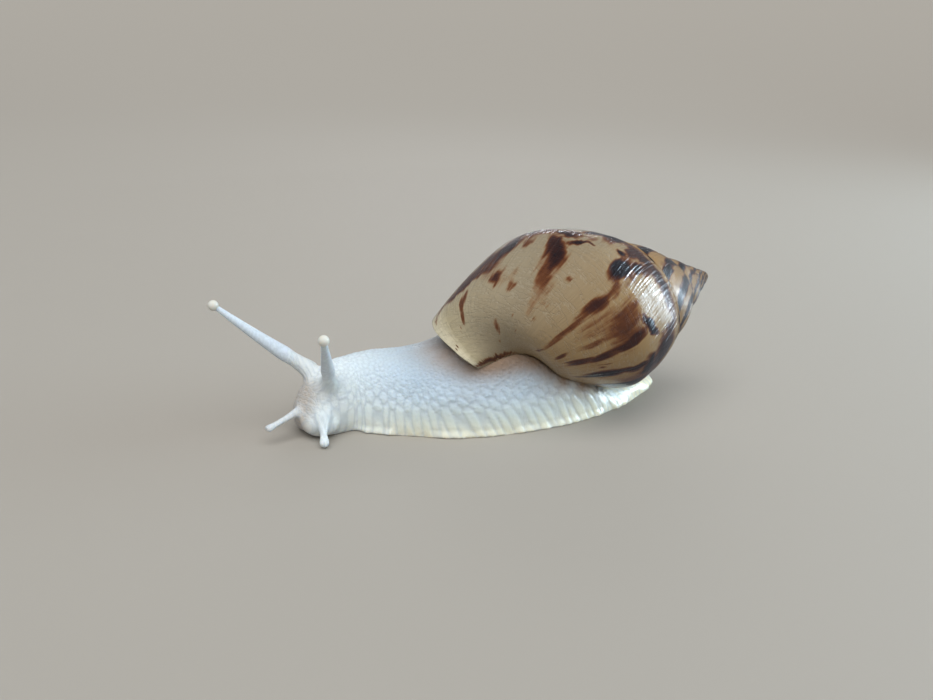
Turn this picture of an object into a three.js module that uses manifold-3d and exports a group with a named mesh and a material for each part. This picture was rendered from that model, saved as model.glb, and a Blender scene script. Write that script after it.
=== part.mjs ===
// Giant African land snail, crawling, as a still life-size model.
//
// Millimetres, +Z up. The origin lies on the flat sole of the foot, where it meets the
// ground, near the middle of the animal. The body runs along X with the head toward -X,
// and +Y is the animal's right side. The shell is a right-handed spiral carried on the
// back, with its apex toward the tail.

import * as THREE from 'three';
import { mergeVertices } from 'three/addons/utils/BufferGeometryUtils.js';
import Module from 'manifold-3d';

const wasm = await Module();
wasm.setup();

const DEG = Math.PI / 180;
const TURN = 2 * Math.PI;
const FIT_GAP = 0.3;

// ---------------------------------------------------------------- driving dimensions

// The shell has a frame of its own: the apex is the origin, z runs down the axis to the
// base, and turn angles are measured about it from straight up.
const shell = {
  apex: new THREE.Vector3(44.94, -0.74, 23.07),
  heading: 8.17 * DEG, // the apex points this far from the tail toward the right side
  rise: 9.99 * DEG, // and is carried this much higher than the base
  growthPerTurn: 1.819, // every size grows by this factor in one turn
  lipAngle: 100.5 * DEG, // where the last turn ends
  turns: 4.8,
  lastStretch: -240 * DEG, // the last turn's end, up to the lip, begins here
  sutureDrop: 25.7, // from the apex down the axis to the last suture
  spireSlope: 0.582, // radius of the suture for each millimetre of drop, on the spire
  bodySlope: 0.448, // the same where the body whorl grows slimmer
  slimmingFrom: -80 * DEG,
  slimmingTo: 150 * DEG,
  tuck: 0.9, // each whorl starts this far under the surface of the one before
  spireBulge: 0.03, // how far a flank bows out, as a share of its height
  bodyBulge: 0.108,
  base: new THREE.Vector2(12.3, 64.0), // radius and drop of the base, below the flank
  throat: new THREE.Vector2(3.3, 69.4),
  tip: new THREE.Vector2(1.8, 84.0),
  wall: 1.0,
  liner: 0.1, // what the last whorl lays over the older ones inside the mouth
  columellaRadius: 1.8,
  columellaFrom: 40,
  columellaTo: 56.5,
  protoconch: 0.9,
};

// The hollow behind the lip and the mantle that fills it, in turn angles from the lip.
const mouth = {
  depth: 60 * DEG,
  past: 6 * DEG, // the hollow is cut this far beyond the lip
  mantleEdge: -2.5 * DEG,
  mantleBack: 2 * DEG,
  clearance: 1.5 * DEG, // left between the lip and the body
};

// How far the growing edge lags behind the lip, from the suture to the tip of the base.
const lipLag = [-4.0, -5.5, -12.6, -22.6, -41.3, -78.9, -224.3];

// The body from snout to tail: middle line, half width, height, and the width at the sole
// as a share of the width above it.
const bodyStations = [
  { x: -38.9, y: 1.0, half: 4.5, top: 10.6, sole: 0.60 }, // face
  { x: -35.5, y: 2.2, half: 5.2, top: 11.8, sole: 0.74 }, // head
  { x: -31.0, y: 3.8, half: 5.9, top: 12.2, sole: 0.90 }, // nape
  { x: -26.0, y: 3.2, half: 7.5, top: 13.1, sole: 1.02 },
  { x: -19.0, y: 1.4, half: 9.3, top: 13.6, sole: 1.04 }, // neck
  { x: -11.0, y: -0.7, half: 10.8, top: 16.5, sole: 1.04 }, // under the lip
  { x: -2.0, y: -1.2, half: 11.3, top: 22.0, sole: 1.04 }, // stalk that enters the shell
  { x: 7.0, y: -0.4, half: 11.2, top: 17.0, sole: 1.04 },
  { x: 14.0, y: 0.9, half: 10.6, top: 7.0, sole: 1.04 }, // foot behind the stalk
  { x: 22.0, y: 2.1, half: 8.8, top: 4.4, sole: 1.04 },
  { x: 29.5, y: 3.1, half: 5.6, top: 3.0, sole: 1.04 },
  { x: 34.4, y: 4.0, half: 2.6, top: 1.8, sole: 1.04 }, // tail
];

// Where the body is parted, along the same stations.
const parting = { nape: -31.0, collar: -13.0, rear: 14.5 };

const snout = { length: 1.9, middle: 4.6 };
const tailEnd = 1.4;
const marginHeight = 2.0; // the sole's margin fades out over this height

const upperTentacle = { rootRadius: 1.9, neckRadius: 0.7, sunk: 1.2, bulb: 0.95 };
const lowerTentacle = { rootRadius: 0.85, tipRadius: 0.6, sunk: 1.5 };

// Each tentacle from its root on the head to its tip.
const tentacles = {
  upper_tentacle_right: {
    kind: upperTentacle, eye: 'eye_right',
    root: new THREE.Vector3(-38.3, 4.0, 10.9), tip: new THREE.Vector3(-52.9, 10.3, 22.0),
  },
  upper_tentacle_left: {
    kind: upperTentacle, eye: 'eye_left',
    root: new THREE.Vector3(-36.7, -0.7, 10.2), tip: new THREE.Vector3(-39.9, -12.0, 20.6),
  },
  lower_tentacle_right: {
    kind: lowerTentacle,
    root: new THREE.Vector3(-40.6, 0.9, 4.6), tip: new THREE.Vector3(-46.4, -1.6, 3.0),
  },
  lower_tentacle_left: {
    kind: lowerTentacle,
    root: new THREE.Vector3(-37.4, -2.4, 4.2), tip: new THREE.Vector3(-38.0, -6.0, 1.0),
  },
};

// ---------------------------------------------------------------- closed solids

const mix = THREE.MathUtils.lerp;
const smooth = (k) => THREE.MathUtils.smoothstep(k, 0, 1);

function splineThrough(values, k) {
  const curve = new THREE.SplineCurve(values.map((v, i) => new THREE.Vector2(i, v)));
  return curve.getPoint(THREE.MathUtils.clamp(k, 0, 1)).y;
}

function solidFrom(points, faces) {
  const vertProperties = new Float32Array(points.flatMap((p) => [p.x, p.y, p.z]));
  const triVerts = new Uint32Array(faces.flat());
  return new wasm.Manifold(new wasm.Mesh({ numProp: 3, vertProperties, triVerts }));
}

function geometryFrom(solid) {
  const mesh = solid.getMesh();
  const geometry = new THREE.BufferGeometry();
  geometry.setAttribute('position', new THREE.BufferAttribute(mesh.vertProperties, 3));
  geometry.setIndex(new THREE.BufferAttribute(mesh.triVerts, 1));
  geometry.computeVertexNormals();
  return geometry;
}

// Closed solid through a row of rings that all have the same number of points.
function loft(rings) {
  const count = rings[0].length;
  const points = rings.flat();
  const faces = [];
  for (let i = 0; i + 1 < rings.length; i += 1) {
    for (let j = 0; j < count; j += 1) {
      const a = i * count + j;
      const b = i * count + ((j + 1) % count);
      faces.push([a, b, b + count], [a, b + count, a + count]);
    }
  }
  for (const last of [false, true]) {
    const row = last ? rings.length - 1 : 0;
    const middle = points.length;
    const centre = new THREE.Vector3();
    rings[row].forEach((p) => centre.addScaledVector(p, 1 / count));
    points.push(centre);
    for (let j = 0; j < count; j += 1) {
      const a = row * count + j;
      const b = row * count + ((j + 1) % count);
      faces.push(last ? [a, b, middle] : [b, a, middle]);
    }
  }
  return solidFrom(points, faces);
}

// Solid of a closed three.js geometry.
function fromGeometry(geometry) {
  const bare = geometry.clone();
  bare.deleteAttribute('normal');
  bare.deleteAttribute('uv');
  const merged = mergeVertices(bare, 1e-4);
  const mesh = new wasm.Mesh({
    numProp: 3,
    vertProperties: new Float32Array(merged.attributes.position.array),
    triVerts: new Uint32Array(merged.index.array),
  });
  return new wasm.Manifold(mesh);
}

// One body out of several. Slivers without volume, left where faces met, are dropped.
const largestBody = (solid) => solid.decompose().sort((a, b) => b.volume() - a.volume())[0];
const joined = (solids) => largestBody(wasm.Manifold.union(solids));

// ---------------------------------------------------------------- shell

const growthRate = Math.log(shell.growthPerTurn) / TURN;

// Share of the change from the spire's shape to the body whorl's, at a turn angle.
const slimming = (angle) => smooth(
  (angle - shell.slimmingFrom) / (shell.slimmingTo - shell.slimmingFrom),
);

const sutureSlope = (angle) => mix(shell.spireSlope, shell.bodySlope, slimming(angle));

// Radius and drop of a whorl at a turn angle: from its suture (k = 0), over the flank that
// ends where the next turn's suture runs, to the tip of its base (k = 1).
function outline(angle, k) {
  const nextDrop = shell.sutureDrop * shell.growthPerTurn;
  const top = new THREE.Vector2(shell.sutureDrop * sutureSlope(angle), shell.sutureDrop);
  const next = new THREE.Vector2(nextDrop * sutureSlope(angle + TURN), nextDrop);
  const bulge = mix(shell.spireBulge, shell.bodyBulge, slimming(angle + TURN));
  const flank = [0.22, 0.58].map((share) => {
    const point = top.clone().lerp(next, share);
    point.x += bulge * (next.y - top.y) * 4 * share * (1 - share);
    return point;
  });
  const tucked = top.clone().sub(new THREE.Vector2(shell.tuck, 0));
  const points = [tucked, ...flank, next, shell.base, shell.throat, shell.tip];
  const curve = new THREE.SplineCurve(points);
  return curve.getPoint(k).multiplyScalar(Math.exp(growthRate * angle));
}

// The same point moved outward across the surface, and never past the axis.
function grownOutline(angle, k, grow) {
  const step = 0.01;
  const ahead = outline(angle, Math.min(k + step, 1));
  const along = ahead.sub(outline(angle, Math.max(k - step, 0))).normalize();
  const point = outline(angle, k);
  point.x = Math.max(point.x + along.y * grow, 0);
  point.y -= along.x * grow;
  return point;
}

// One ring of a whorl: up its outer surface from tip to suture, and back down the axis.
function whorlRing(angleAt, grow, steps) {
  const outer = [];
  for (let j = steps; j >= 0; j -= 1) {
    const angle = angleAt(j / steps);
    const { x: radius, y: drop } = grownOutline(angle, j / steps, grow);
    const turned = angle + shell.lipAngle;
    outer.push(new THREE.Vector3(radius * Math.cos(turned), radius * Math.sin(turned), drop));
  }
  const [low, high] = [outer[0].z, outer[steps].z];
  const axis = outer.map((_, j) => new THREE.Vector3(0, 0, mix(high, low, j / steps)));
  return [...outer, ...axis];
}

function whorl({ from, to, grow, slices }) {
  const steps = 14;
  const rings = [];
  for (let i = 0; i <= slices; i += 1) {
    const angleAt = (k) => mix(from(k), to(k), i / slices);
    rings.push(whorlRing(angleAt, grow, steps));
  }
  return loft(rings);
}

const lag = (k) => splineThrough(lipLag, k) * DEG;

function columella(grow) {
  const sides = 14;
  const rings = [];
  for (const [share, width] of [[0, 1], [0.8, 1], [0.95, 0.8], [1, 0.35]]) {
    const z = mix(shell.columellaFrom, shell.columellaTo + grow, share);
    const radius = shell.columellaRadius * width + grow;
    rings.push(Array.from({ length: sides }, (_, j) => new THREE.Vector3(
      radius * Math.cos(TURN * j / sides), radius * Math.sin(TURN * j / sides), z,
    )));
  }
  return loft(rings);
}

// All turns older than the last one's final stretch, each half turn face to face with the
// next one.
function olderWhorls(grow) {
  const end = shell.lastStretch - shell.turns * TURN;
  const parts = [];
  for (let angle = shell.lastStretch; angle > end; angle -= TURN / 2) {
    const from = angle - TURN / 2;
    const slices = angle > -1.5 * TURN ? 16 : 10;
    parts.push(whorl({ from: () => from, to: () => angle, grow, slices }));
  }
  const top = new THREE.SphereGeometry(shell.protoconch + grow, 12, 8);
  top.translate(0, 0, shell.protoconch * 1.4);
  parts.push(fromGeometry(top));
  return joined(parts);
}

const lastStretch = (grow, past) => whorl({
  from: () => shell.lastStretch, to: (k) => lag(k) + past, grow, slices: 24,
});

const envelope = (grow, past) => joined(
  [olderWhorls(grow), lastStretch(grow, past), columella(grow)],
);

// What fills the last stretch of the whorl's tube, from the depth of the mouth outward.
const mouthFilling = (inset, from, to) => whorl({
  from: (k) => lag(k) + from, to: (k) => lag(k) + to, grow: -inset, slices: 8,
});

// Shell frame to model frame: up in the shell's section, right, and down the axis.
function shellMatrix() {
  const flat = Math.cos(shell.rise);
  const down = new THREE.Vector3(
    -flat * Math.cos(shell.heading), -flat * Math.sin(shell.heading), -Math.sin(shell.rise),
  );
  const up = new THREE.Vector3(0, 0, 1).addScaledVector(down, -down.z).normalize();
  const side = new THREE.Vector3().crossVectors(down, up);
  return new THREE.Matrix4().makeBasis(up, side, down).setPosition(shell.apex);
}

// ---------------------------------------------------------------- body

const middleLine = new THREE.CatmullRomCurve3(
  bodyStations.map(({ x, y }) => new THREE.Vector3(x, y, 0)), false, 'centripetal',
);

const stationValue = (name, share) => splineThrough(bodyStations.map((s) => s[name]), share);

// Share of the middle line at which it passes a given x.
function shareAtX(x) {
  let [low, high] = [0, 1];
  for (let i = 0; i < 30; i += 1) {
    const middle = (low + high) / 2;
    if (middleLine.getPoint(middle).x < x) low = middle;
    else high = middle;
  }
  return (low + high) / 2;
}

// A cross-section of the body: flat sole, spreading margin, arched flanks and back.
// round shrinks it about a point at the given height, to round the two ends.
function bodyRing(share, { round = 1, ahead = 0, height = 0 } = {}) {
  const sides = 22;
  const squareness = 2 / 2.3;
  const centre = middleLine.getPoint(share);
  const along = middleLine.getTangent(share);
  const across = new THREE.Vector3(-along.y, along.x, 0);
  const half = stationValue('half', share) * round;
  const top = stationValue('top', share);
  const ring = [];
  for (let j = 0; j <= sides; j += 1) {
    const turned = Math.PI * j / sides;
    const lift = Math.max(Math.sin(turned), 0) ** squareness * top;
    const flare = 1 + (stationValue('sole', share) - 1) * Math.exp(-lift / marginHeight);
    const reach = Math.sign(Math.cos(turned)) * Math.abs(Math.cos(turned)) ** squareness;
    const z = height + (lift - height) * round;
    ring.push(centre.clone()
      .addScaledVector(across, half * reach * flare)
      .addScaledVector(along, ahead)
      .setZ(z));
  }
  return ring;
}

function bodyLength(from, to, slices) {
  const rings = [];
  for (let i = 0; i <= slices; i += 1) {
    rings.push(bodyRing(mix(from, to, i / slices)));
  }
  return rings;
}

// Rings that close an end of the body with a round nose.
function roundedEnd(share, length, height, direction) {
  return [0.35, 0.65, 0.87, 0.98].map((reach) => bodyRing(share, {
    round: Math.sqrt(1 - reach * reach), ahead: direction * reach * length, height,
  }));
}

// Round tube along a curve, its radius given at each share of the length.
function taperedTube(curve, radiusAt, slices, sides) {
  const { tangents, normals, binormals } = curve.computeFrenetFrames(slices);
  const rings = tangents.map((_, i) => {
    const share = i / slices;
    const centre = curve.getPointAt(share);
    const radius = radiusAt(share);
    return Array.from({ length: sides }, (_unused, j) => centre.clone()
      .addScaledVector(normals[i], radius * Math.cos(TURN * j / sides))
      .addScaledVector(binormals[i], radius * Math.sin(TURN * j / sides)));
  });
  return loft(rings);
}

function tentacleCurve({ root, tip, kind }) {
  const along = tip.clone().sub(root).normalize();
  const start = root.clone().addScaledVector(along, -kind.sunk);
  return new THREE.LineCurve3(start, tip);
}

function upperTentacleSolid(tentacle, grow) {
  const { rootRadius, neckRadius, bulb } = tentacle.kind;
  const whole = tentacleCurve(tentacle);
  const end = 1 - (bulb + FIT_GAP) / whole.getLength();
  const curve = new THREE.LineCurve3(whole.getPoint(0), whole.getPoint(end));
  const radiusAt = (share) => mix(rootRadius, neckRadius, 1 - (1 - share) ** 2) + grow;
  return taperedTube(curve, radiusAt, 10, 14);
}

function lowerTentacleSolid(tentacle, grow) {
  const { rootRadius, tipRadius } = tentacle.kind;
  const radiusAt = (share) => {
    const rounding = share > 0.9 ? Math.sqrt(1 - ((share - 0.9) / 0.12) ** 2) : 1;
    return mix(rootRadius, tipRadius, share) * rounding + grow;
  };
  return taperedTube(tentacleCurve(tentacle), radiusAt, 8, 12);
}

const tentacleSolid = (tentacle, grow) => (tentacle.kind === upperTentacle
  ? upperTentacleSolid(tentacle, grow)
  : lowerTentacleSolid(tentacle, grow));

// ---------------------------------------------------------------- assembly

const snail = new THREE.Group();

const skinFinish = { color: 0xece8dc, roughness: 0.35, metalness: 0 };
const finishes = {
  shell: { color: 0xa98a5c, roughness: 0.25, metalness: 0 },
  eye: { color: 0xf1e6c4, roughness: 0.3, metalness: 0 },
  mantle: { color: 0xe9e0cd, roughness: 0.3, metalness: 0 },
};

function addPiece(name, geometry, finish) {
  const piece = new THREE.Mesh(geometry, new THREE.MeshStandardMaterial(finish));
  piece.name = name;
  snail.add(piece);
  return piece;
}

const toModel = shellMatrix();
const mouthCavity = mouthFilling(shell.wall, -mouth.depth, mouth.past)
  .subtract(olderWhorls(shell.liner)).subtract(columella(shell.liner));
const mantle = mouthFilling(shell.wall + FIT_GAP, mouth.mantleBack - mouth.depth, mouth.past)
  .intersect(lastStretch(0, mouth.mantleEdge))
  .subtract(olderWhorls(FIT_GAP)).subtract(columella(FIT_GAP));

for (const [name, solid] of [
  ['shell', largestBody(envelope(0, 0).subtract(mouthCavity))],
  ['mantle', largestBody(mantle)],
]) {
  const piece = addPiece(name, geometryFrom(solid), finishes[name]);
  toModel.decompose(piece.position, piece.quaternion, piece.scale);
}

const shellSpace = envelope(FIT_GAP, mouth.clearance).transform(toModel.toArray());

const roots = wasm.Manifold.union(Object.values(tentacles).map((t) => tentacleSolid(t, FIT_GAP)));

function addBody() {
  const [nape, collar, rear] = ['nape', 'collar', 'rear'].map((n) => shareAtX(parting[n]));
  const cut = FIT_GAP / 2 / middleLine.getLength();
  const face = roundedEnd(0, snout.length, snout.middle, -1).reverse();
  const tip = roundedEnd(1, tailEnd, 0, 1);
  const lengths = {
    head: [...face, ...bodyLength(0, nape - cut, 8)],
    neck: bodyLength(nape + cut, collar - cut, 11),
    foot: bodyLength(collar + cut, rear - cut, 16),
    tail: [...bodyLength(rear + cut, 1, 9), ...tip],
  };
  for (const [name, rings] of Object.entries(lengths)) {
    const solid = largestBody(loft(rings).subtract(name === 'head' ? roots : shellSpace));
    addPiece(name, geometryFrom(solid), skinFinish);
  }
}

function addTentacles() {
  for (const [name, tentacle] of Object.entries(tentacles)) {
    addPiece(name, geometryFrom(tentacleSolid(tentacle, 0)), skinFinish);
    if (tentacle.eye) {
      const ball = new THREE.SphereGeometry(tentacle.kind.bulb, 16, 10);
      addPiece(tentacle.eye, ball, finishes.eye).position.copy(tentacle.tip);
    }
  }
}

addBody();
addTentacles();

export default snail;
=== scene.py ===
"""Giant African land snail, crawling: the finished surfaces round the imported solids.

Lengths are written in millimetres and turned into metres where a mesh is made.
+Z is up, the head is toward -X, and +Y is the animal's right side.
"""

import bpy
import numpy as np
from mathutils import Matrix, Vector


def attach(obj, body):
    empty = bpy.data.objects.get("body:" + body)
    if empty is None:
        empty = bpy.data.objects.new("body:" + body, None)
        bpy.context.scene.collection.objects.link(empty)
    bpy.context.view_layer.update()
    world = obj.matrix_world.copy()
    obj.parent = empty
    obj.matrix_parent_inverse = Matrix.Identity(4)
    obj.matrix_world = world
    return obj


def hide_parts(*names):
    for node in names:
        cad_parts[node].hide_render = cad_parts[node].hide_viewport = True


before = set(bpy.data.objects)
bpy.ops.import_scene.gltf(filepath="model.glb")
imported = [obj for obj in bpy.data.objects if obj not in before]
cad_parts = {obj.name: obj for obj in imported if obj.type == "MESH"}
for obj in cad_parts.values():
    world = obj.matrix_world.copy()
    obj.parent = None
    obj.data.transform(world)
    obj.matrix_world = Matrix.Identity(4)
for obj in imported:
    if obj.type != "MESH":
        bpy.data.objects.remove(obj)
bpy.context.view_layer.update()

# ---------------------------------------------------------------- shell
# The shell is one hollow cone of chalk wound to the right round a leaning axis, thin at
# the lip and laid down there strip by strip. A glossy horny skin covers it. The body
# grows on its inner wall, and the last whorl lies over the whorl before.

MM = 0.001
DEGREE = np.pi / 180
TURN = 2 * np.pi

shell_apex = np.array([44.94, -0.74, 23.07])
shell_heading = 8.17 * DEGREE
shell_rise = 9.99 * DEGREE
shell_growth = 1.819  # every size grows by this factor in one turn
growth_rate = np.log(shell_growth) / TURN
lip_angle = 100.5 * DEGREE
suture_drop = 25.7
spire_slope, body_slope = 0.569, 0.448
slimming_from, slimming_to = -80 * DEGREE, 150 * DEGREE
spire_bulge, body_bulge = 0.075, 0.108
suture_tuck = 0.05
flank_shares = (0.22, 0.58)  # rows of the outline between the suture and the next one
covered_from, covered_to = -364 * DEGREE, -414 * DEGREE  # where the next turn lies over one
covered_reach, covered_inset = 0.55, 1.9
base_outline = ((12.3, 64.0), (3.3, 69.4), (1.8, 84.0))  # radius and drop, down to the tip
apex_bluntness, apex_reach = 0.55, 1.6
lip_lag = np.array([-4.0, -5.5, -12.6, -22.6, -41.3, -78.9, -224.3]) * DEGREE


def smooth(x):
    """Eases from 0 to 1 as x goes from 0 to 1: three x squared less two x cubed."""
    x = np.clip(x, 0, 1)
    return x * x * (3 - 2 * x)


def mix(a, b, share):
    """A value that lies a share of the way from a to b."""
    return a + (b - a) * share


def spline_weights(k, count):
    """Share of each of `count` evenly spaced values in a Catmull-Rom curve at k, 0 to 1."""
    x = np.clip(k, 0, 1) * (count - 1)
    first = np.minimum(x.astype(int), count - 2)
    t = x - first
    cubic = np.stack([
        -t + 2 * t**2 - t**3, 2 - 5 * t**2 + 3 * t**3, t + 4 * t**2 - 3 * t**3, t**3 - t**2,
    ], axis=-1) / 2
    columns = np.clip(first[:, None] + np.arange(-1, 3), 0, count - 1)
    weights = np.zeros((len(x), count))
    np.add.at(weights, (np.arange(len(x))[:, None], columns), cubic)
    return weights


def spline(values, k):
    """The Catmull-Rom curve through evenly spaced values, at k from 0 to 1."""
    return spline_weights(np.asarray(k, float), len(values)) @ np.asarray(values, float)


def suture_slope(angle):
    """Radius of the suture for each length down the axis: the last turn is slimmer."""
    slim = smooth((angle - slimming_from) / (slimming_to - slimming_from))
    return mix(spire_slope, body_slope, slim)


def whorl_outline(angle, k):
    """Radius and drop of the shell's surface at turn angles, for a row of k across the whorl.

    A Catmull-Rom curve from the suture over the flank, through the line of the next
    suture and round the base to the tip, scaled by the growth per radian to the angle.
    """
    weights = spline_weights(k, 7)
    next_drop = suture_drop * shell_growth
    top, following = suture_drop * suture_slope(angle), next_drop * suture_slope(angle + TURN)
    slim = smooth((angle + TURN - slimming_from) / (slimming_to - slimming_from))
    bow = mix(spire_bulge, body_bulge, slim) * (next_drop - suture_drop)
    radii = [top - suture_tuck]
    drops = [suture_drop]
    for share in flank_shares:
        radii.append(mix(top, following, share) + bow * 4 * share * (1 - share))
        drops.append(mix(suture_drop, next_drop, share))
    radii.append(following)
    drops.append(next_drop)
    # Under a later turn the flank runs straight on, so that its last part keeps its slope.
    covered = smooth((angle - covered_from) / (covered_to - covered_from))
    onward = (following + covered_reach * (following - radii[2]) - covered_inset,
              next_drop + covered_reach * (next_drop - drops[2]))
    for row, (radius, drop) in enumerate(base_outline):
        radii.append(mix(radius, onward[0], covered) if row == 0 else radius)
        drops.append(mix(drop, onward[1], covered) if row == 0 else drop)
    scale = np.exp(growth_rate * angle)
    radius = sum(weights[:, j] * r for j, r in enumerate(radii)) * scale
    drop = sum(weights[:, j] * d for j, d in enumerate(drops)) * scale
    return radius, drop


def shell_axes():
    """Up in the shell's section, its right side, and down its axis, as unit vectors."""
    flat = np.cos(shell_rise)
    down = -np.array([
        flat * np.cos(shell_heading), flat * np.sin(shell_heading), np.sin(shell_rise),
    ])
    up = np.array([0, 0, 1]) - down * down[2]
    up /= np.linalg.norm(up)
    return up, np.cross(down, up), down


def shell_place(radius, angle, drop):
    """Millimetre positions: the apex, plus radius round the axis at the angle, plus drop."""
    up, side, down = shell_axes()
    turned = (angle + lip_angle)[..., None]
    return (shell_apex + radius[..., None] * (np.cos(turned) * up + np.sin(turned) * side)
            + drop[..., None] * down)


def shell_surface(grown, k):
    """The outer surface as a grid: rows are growth lines at turn angles `grown` behind the
    lip, columns run across the whorl. Each growth line has the lip's own curve, a lag in
    turn angle that is a spline of k. Near the apex the radius grows by the bluntness."""
    angle = grown[:, None] + (spline_weights(k, len(lip_lag)) @ lip_lag)[None, :]
    radius, drop = whorl_outline(angle, k)
    blunt = 1 + apex_bluntness * np.exp(-drop / apex_reach)
    return shell_place(radius * blunt, angle, drop)


def outward_normals(grid):
    """Unit normals of a grid on the shell: the cross product of its two directions, turned
    to point away from a place on the axis that lies inside the last turn."""
    normal = np.cross(np.gradient(grid, axis=1), np.gradient(grid, axis=0))
    normal /= np.maximum(np.linalg.norm(normal, axis=-1, keepdims=True), 1e-9)
    inside_drop = 40
    column = grid.shape[1] * 2 // 5
    from_axis = grid[-1, column] - shell_apex - inside_drop * shell_axes()[2]
    return normal if np.sum(normal[-1, column] * from_axis) > 0 else -normal


# Growth lines close together on the last whorl, and wider apart toward the apex.
shell_oldest = -5.9 * TURN
fine_from, fine_step, coarse_step = -420 * DEGREE, 0.85 * DEGREE, 4.6 * DEGREE
steps = []
position = 0.0
while position > shell_oldest:
    steps.append(position)
    position -= mix(fine_step, coarse_step, smooth((fine_from - position) / TURN))
grown = np.array(steps[::-1])
across = np.linspace(0, 1, 84)
outer = shell_surface(grown, across)
outward = outward_normals(outer)

# Relief: fine uneven growth lines, strong on the flank and weaker on the base.
random = np.random.default_rng(7)
line_count, line_spread, line_height = 2600, 1.1, 0.06
flank_end, base_share = 0.62, 0.3
line_gaps = random.uniform(0.5, 1.6, line_count)
line_levels = random.uniform(-1, 1, line_count)
line_places = grown[-1] - np.cumsum(line_gaps) * line_spread * DEGREE
ripple = np.interp(grown, line_places[::-1], line_levels[::-1])
size_here = np.exp(growth_rate * grown)
on_flank = mix(base_share, 1, smooth(1 - across / flank_end))
relief = (line_height * ripple * size_here)[:, None] * on_flank[None, :]
outer = outer + outward * relief[..., None]

# The wall is thin at the lip and thicker inside. Deep behind the mouth, where nothing can
# be seen, a plain partition closes the ring instead.
lip_wall, inner_wall, thick_from = 0.35, 0.9, 14 * DEGREE
partition_from, partition_over = 70 * DEGREE, 6 * DEGREE
wall_rows = 18
inner_k = np.linspace(0, 1, wall_rows)
over_wall = shell_surface(grown, inner_k)
thickness = mix(lip_wall, inner_wall, smooth(-grown / thick_from))[:, None, None]
inset = over_wall - outward_normals(over_wall) * thickness
chord = mix(outer[:, :1], outer[:, -1:], np.linspace(0.05, 0.95, wall_rows)[None, :, None])
hidden = smooth((-grown - partition_from) / partition_over)[:, None, None]
inside = mix(inset, chord, hidden)
ring = np.concatenate([outer, inside[:, ::-1]], axis=1)


def keep_values(mesh, **maps):
    """Keeps a value for each point of the mesh, under each name, for a material to use."""
    for name, values in maps.items():
        layer = mesh.attributes.new(name, "FLOAT", "POINT")
        layer.data.foreach_set("value", values.astype(np.float32).ravel())


def ring_mesh(name, rings):
    """A closed mesh from a grid of rings: quads between rings, and a face over each end.
    Where its volume comes out negative, it is inside out, and its faces are flipped."""
    rows, sides = rings.shape[:2]
    index = np.arange(rows * sides).reshape(rows, sides)
    a, b = index[:-1], index[1:]
    quads = np.stack([a, np.roll(a, -1, 1), np.roll(b, -1, 1), b], axis=-1).reshape(-1, 4)
    ends = [index[0][::-1].tolist(), index[-1].tolist()]
    mesh = bpy.data.meshes.new(name)
    mesh.from_pydata((rings.reshape(-1, 3) * MM).tolist(), [], quads.tolist() + ends)
    mesh.validate()
    first, second, third = (rings.reshape(-1, 3)[quads[:, i]] for i in range(3))
    if np.sum(first * np.cross(second - first, third - first)) < 0:
        mesh.flip_normals()
    mesh.shade_smooth()
    return mesh


def add_object(name, data):
    """An object in the scene with the mesh, lamp or camera, at the origin."""
    made = bpy.data.objects.new(name, data)
    bpy.context.scene.collection.objects.link(made)
    return made


def ring_attribute(outer_values, inner_value):
    """Values on the rings: those of the outer surface, then those of the wall's inside."""
    inner_values = np.broadcast_to(inner_value, (len(grown), wall_rows))
    return np.concatenate([outer_values, inner_values], axis=1)


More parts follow.
